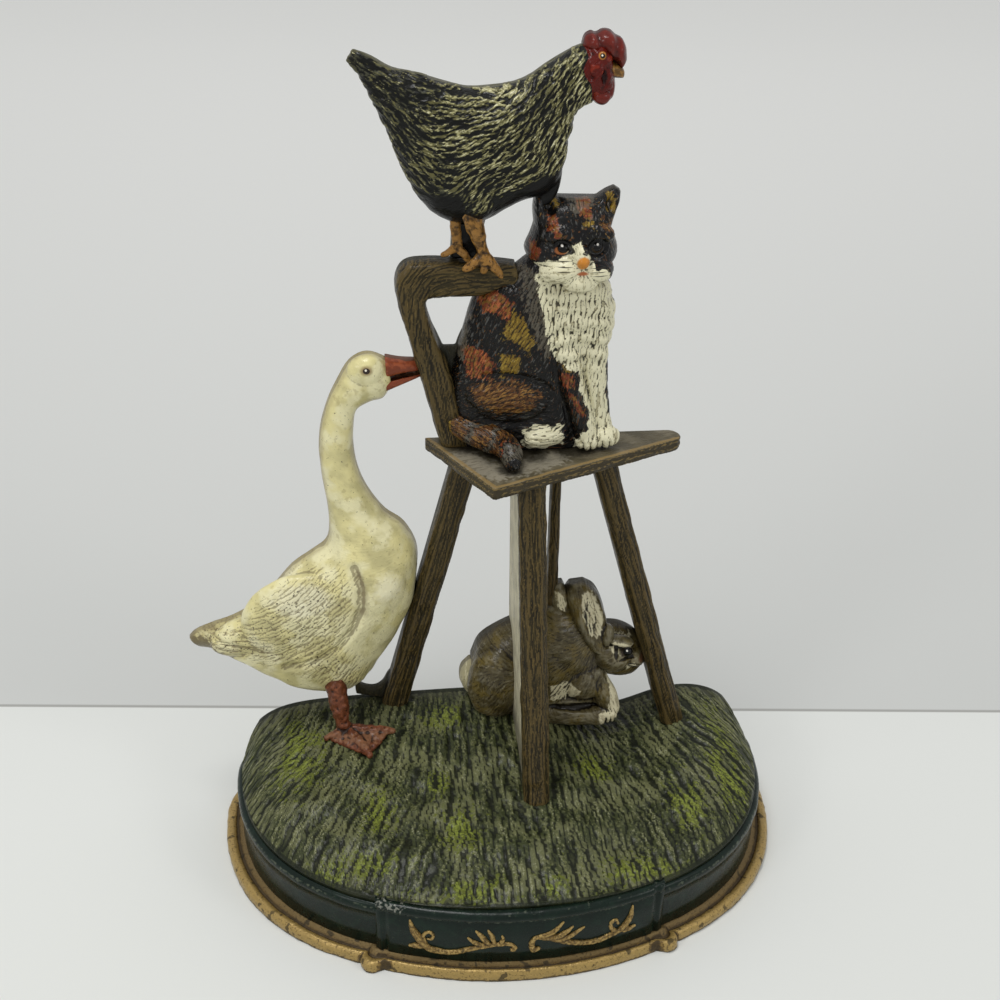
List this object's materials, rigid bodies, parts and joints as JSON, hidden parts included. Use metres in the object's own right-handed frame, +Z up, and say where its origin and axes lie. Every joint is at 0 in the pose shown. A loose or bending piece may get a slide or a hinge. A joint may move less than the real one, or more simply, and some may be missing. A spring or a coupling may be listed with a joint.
{
  "type": "doorstop",
  "caption": "Painted cast iron doorstop: hen, cat, goose and rabbit in one-sided relief around a four-legged stool on an oval stepped base.",
  "frame": {"origin": "Bottom centre of the bounding box, on the surface that the flange stands on.", "axes": "+Z up, -Y to the front that the relief faces, +Y to the flat back, +X to the right as seen from the front."},
  "size_m": [0.2384, 0.1142, 0.3215],
  "materials": {
    "gold_trim": "antique gold paint, worn and speckled",
    "plinth_green": "very dark green satin enamel with small chips",
    "grass": "grey-green wash with yellow-green dry brushing over cast grass",
    "wood_brown": "brown wood-grain paint with dark recesses",
    "calico": "black enamel with rust and ochre patches and a cream chest",
    "cream": "cream paint with dark wash in the recesses",
    "hen_black": "charcoal black with cream dry-brushed feathers",
    "comb_red": "glossy dark red enamel",
    "horn_ochre": "ochre-orange paint with dark wash",
    "ivory": "ivory paint, speckled and washed dark in the feather lines",
    "brick_red": "brick red paint with dark wash",
    "rabbit_brown": "olive brown paint with dark wash"
  },
  "bodies": {
    "root": {"foot_flange": "gold_trim", "plinth_wall": "plinth_green", "front_panel": "plinth_green", "scroll_left": "gold_trim", "scroll_right": "gold_trim", "ground": "grass", "stool_seat": "wood_brown", "stool_leg_front": "wood_brown", "front_leg_web": "cream", "stool_leg_left": "wood_brown", "stool_leg_right": "wood_brown", "stool_leg_rear": "wood_brown", "stool_backrest": "wood_brown", "cat_head": "calico", "cat_body": "calico", "cat_tail": "calico", "hen_body": "hen_black", "hen_comb": "comb_red", "hen_wattle": "comb_red", "hen_beak": "horn_ochre", "hen_leg_near": "horn_ochre", "hen_leg_far": "horn_ochre", "goose_body": "ivory", "goose_beak": "brick_red", "goose_leg": "brick_red", "rabbit_body": "rabbit_brown", "rabbit_head": "rabbit_brown", "rabbit_ear_near": "rabbit_brown", "rabbit_ear_far": "rabbit_brown", "rabbit_tail": "cream"}
  },
  "joints": []
}
